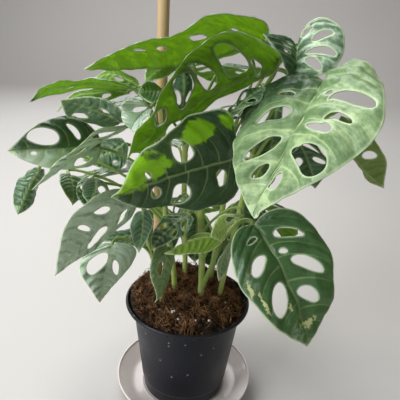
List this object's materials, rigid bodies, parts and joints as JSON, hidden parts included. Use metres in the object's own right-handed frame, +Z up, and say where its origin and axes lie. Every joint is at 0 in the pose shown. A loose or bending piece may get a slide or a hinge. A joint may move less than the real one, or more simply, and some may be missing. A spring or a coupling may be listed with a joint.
{
  "type": "potted swiss cheese vine plant",
  "caption": "Bushy potted foliage plant with long perforated leaves on slender stalks, in a round nursery pot on a clear saucer, with a wooden stake.",
  "frame": {"origin": "on the surface that the saucer stands on, on the pot's axis", "axes": "+Z up along the pot's axis, -Y towards the plant's front"},
  "size_m": [0.3505, 0.3271, 0.492],
  "materials": {
    "saucer_plastic": "clear, slightly milky, with fine scratches",
    "pot_plastic": "charcoal, satin, with dust specks",
    "potting_soil": "coarse brown coir and dark peat with white perlite grains",
    "stake_wood": "light round dowel, unfinished",
    "stem_green": "smooth light green",
    "leaf_green": "satin deep green above, paler and matt below, thin light rim",
    "young_leaf": "glossy yellow-green"
  },
  "bodies": {
    "root": {"saucer": "saucer_plastic", "pot": "pot_plastic", "potting_soil": "potting_soil", "stake": "stake_wood", "stem_front": "stem_green", "stem_left": "stem_green", "stem_corner": "stem_green", "stem_right": "stem_green", "stem_rear_left": "stem_green", "stem_rear_right": "stem_green", "leaf_01": "leaf_green", "leaf_02": "leaf_green", "leaf_03": "leaf_green", "leaf_04": "leaf_green", "leaf_05": "leaf_green", "leaf_06": "leaf_green", "leaf_07": "leaf_green", "leaf_08": "leaf_green", "leaf_09": "leaf_green", "leaf_10": "young_leaf", "leaf_11": "young_leaf", "leaf_12": "leaf_green", "leaf_13": "leaf_green", "leaf_14": "leaf_green", "leaf_15": "leaf_green", "leaf_16": "leaf_green", "leaf_17": "leaf_green", "leaf_18": "leaf_green", "leaf_19": "leaf_green", "leaf_20": "leaf_green", "leaf_21": "leaf_green", "leaf_22": "leaf_green", "leaf_23": "leaf_green", "leaf_24": "leaf_green", "leaf_25": "leaf_green", "leaf_26": "leaf_green", "leaf_27": "leaf_green", "leaf_28": "leaf_green", "leaf_29": "leaf_green", "leaf_30": "leaf_green", "leaf_31": "leaf_green", "leaf_32": "leaf_green", "leaf_33": "leaf_green", "leaf_34": "leaf_green", "leaf_35": "leaf_green", "leaf_36": "leaf_green", "leaf_37": "leaf_green", "leaf_38": "leaf_green", "leaf_39": "leaf_green", "leaf_40": "leaf_green", "leaf_41": "leaf_green", "leaf_42": "leaf_green", "leaf_43": "leaf_green", "leaf_44": "leaf_green", "leaf_45": "leaf_green", "leaf_46": "leaf_green", "leaf_47": "leaf_green", "leaf_48": "leaf_green", "leaf_49": "leaf_green", "leaf_50": "leaf_green"}
  },
  "joints": []
}
